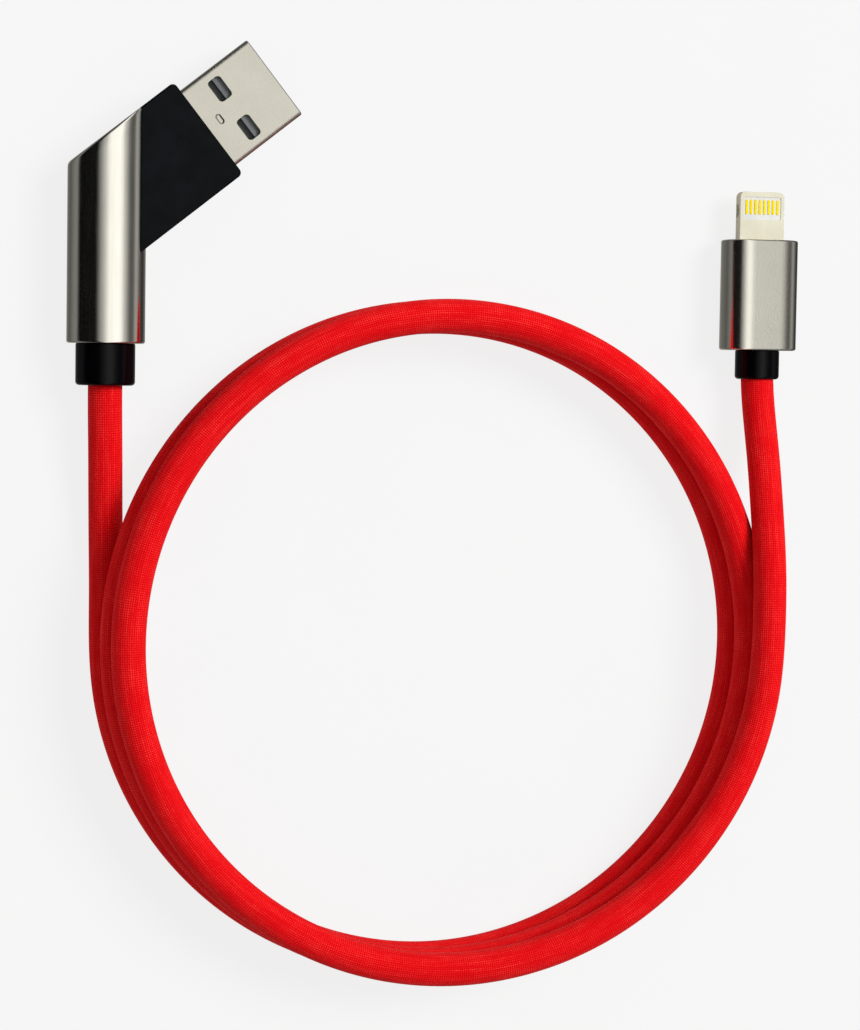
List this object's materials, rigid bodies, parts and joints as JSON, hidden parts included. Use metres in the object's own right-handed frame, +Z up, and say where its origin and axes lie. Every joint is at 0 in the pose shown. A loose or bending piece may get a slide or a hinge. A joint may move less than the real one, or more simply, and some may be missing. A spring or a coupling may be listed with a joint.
{
  "type": "charging cable",
  "caption": "Red fabric-covered charging cable in a loose round coil, with an angled metal-sleeved USB-A plug at one end and a flat-tongued metal phone plug at the other.",
  "frame": {"origin": "on the table, midway between the two plugs: the centre of the bottom of the box round both plugs", "axes": "+Z up from the table, +Y from the coil towards the plugs' tips, +X from the USB plug towards the phone plug"},
  "size_m": [0.1008, 0.1265, 0.0133],
  "materials": {
    "plug_steel": "satin nickel-plated steel with a fine speckle",
    "usb_insulator": "moulded black plastic",
    "contact_gold": "gold-plated contact",
    "shield_steel": "tin-plated sheet steel",
    "inner_mould": "off-white inner moulding",
    "body_black": "satin black moulding",
    "sleeve_metal": "polished warm zinc alloy",
    "collar_black": "glossy black soft plastic",
    "crimp_brass": "crimped ring",
    "wire_red": "wire insulation",
    "wire_white": "wire insulation",
    "wire_green": "wire insulation",
    "wire_black": "wire insulation",
    "tongue_metal": "pale ivory-tinted plated metal",
    "contact_block": "white moulded block",
    "contact_yellow": "bright yellow gold plating",
    "insert_grey": "grey moulded insert",
    "housing_metal": "satin-polished warm alloy",
    "circuit_board": "green solder mask",
    "chip_black": "epoxy package",
    "board_parts": "ceramic chip parts",
    "cord_fabric": "bright red fine woven sleeve"
  },
  "bodies": {
    "root": {"usb_shell": "plug_steel", "usb_tongue": "usb_insulator", "usb_contact_power": "contact_gold", "usb_contact_data_minus": "contact_gold", "usb_contact_data_plus": "contact_gold", "usb_contact_ground": "contact_gold", "usb_rear_shield": "shield_steel", "usb_inner_mould": "inner_mould", "usb_body": "body_black", "usb_sleeve": "sleeve_metal", "usb_collar": "collar_black", "usb_crimp": "crimp_brass", "usb_wire_red": "wire_red", "usb_wire_white": "wire_white", "usb_wire_green": "wire_green", "usb_wire_black": "wire_black", "phone_tongue": "tongue_metal", "phone_contact_block": "contact_block", "phone_contacts_front": "contact_yellow", "phone_contacts_back": "contact_yellow", "phone_insert": "insert_grey", "phone_housing": "housing_metal", "phone_board": "circuit_board", "phone_chip": "chip_black", "phone_board_parts": "board_parts", "phone_shield_front": "shield_steel", "phone_shield_back": "shield_steel", "phone_inner_mould": "inner_mould", "phone_collar": "collar_black", "phone_crimp": "crimp_brass", "phone_wire_red": "wire_red", "phone_wire_white": "wire_white", "phone_wire_green": "wire_green", "phone_wire_black": "wire_black", "cord_coil": "cord_fabric", "cord_tail_usb": "cord_fabric", "cord_tail_phone": "cord_fabric"}
  },
  "joints": []
}
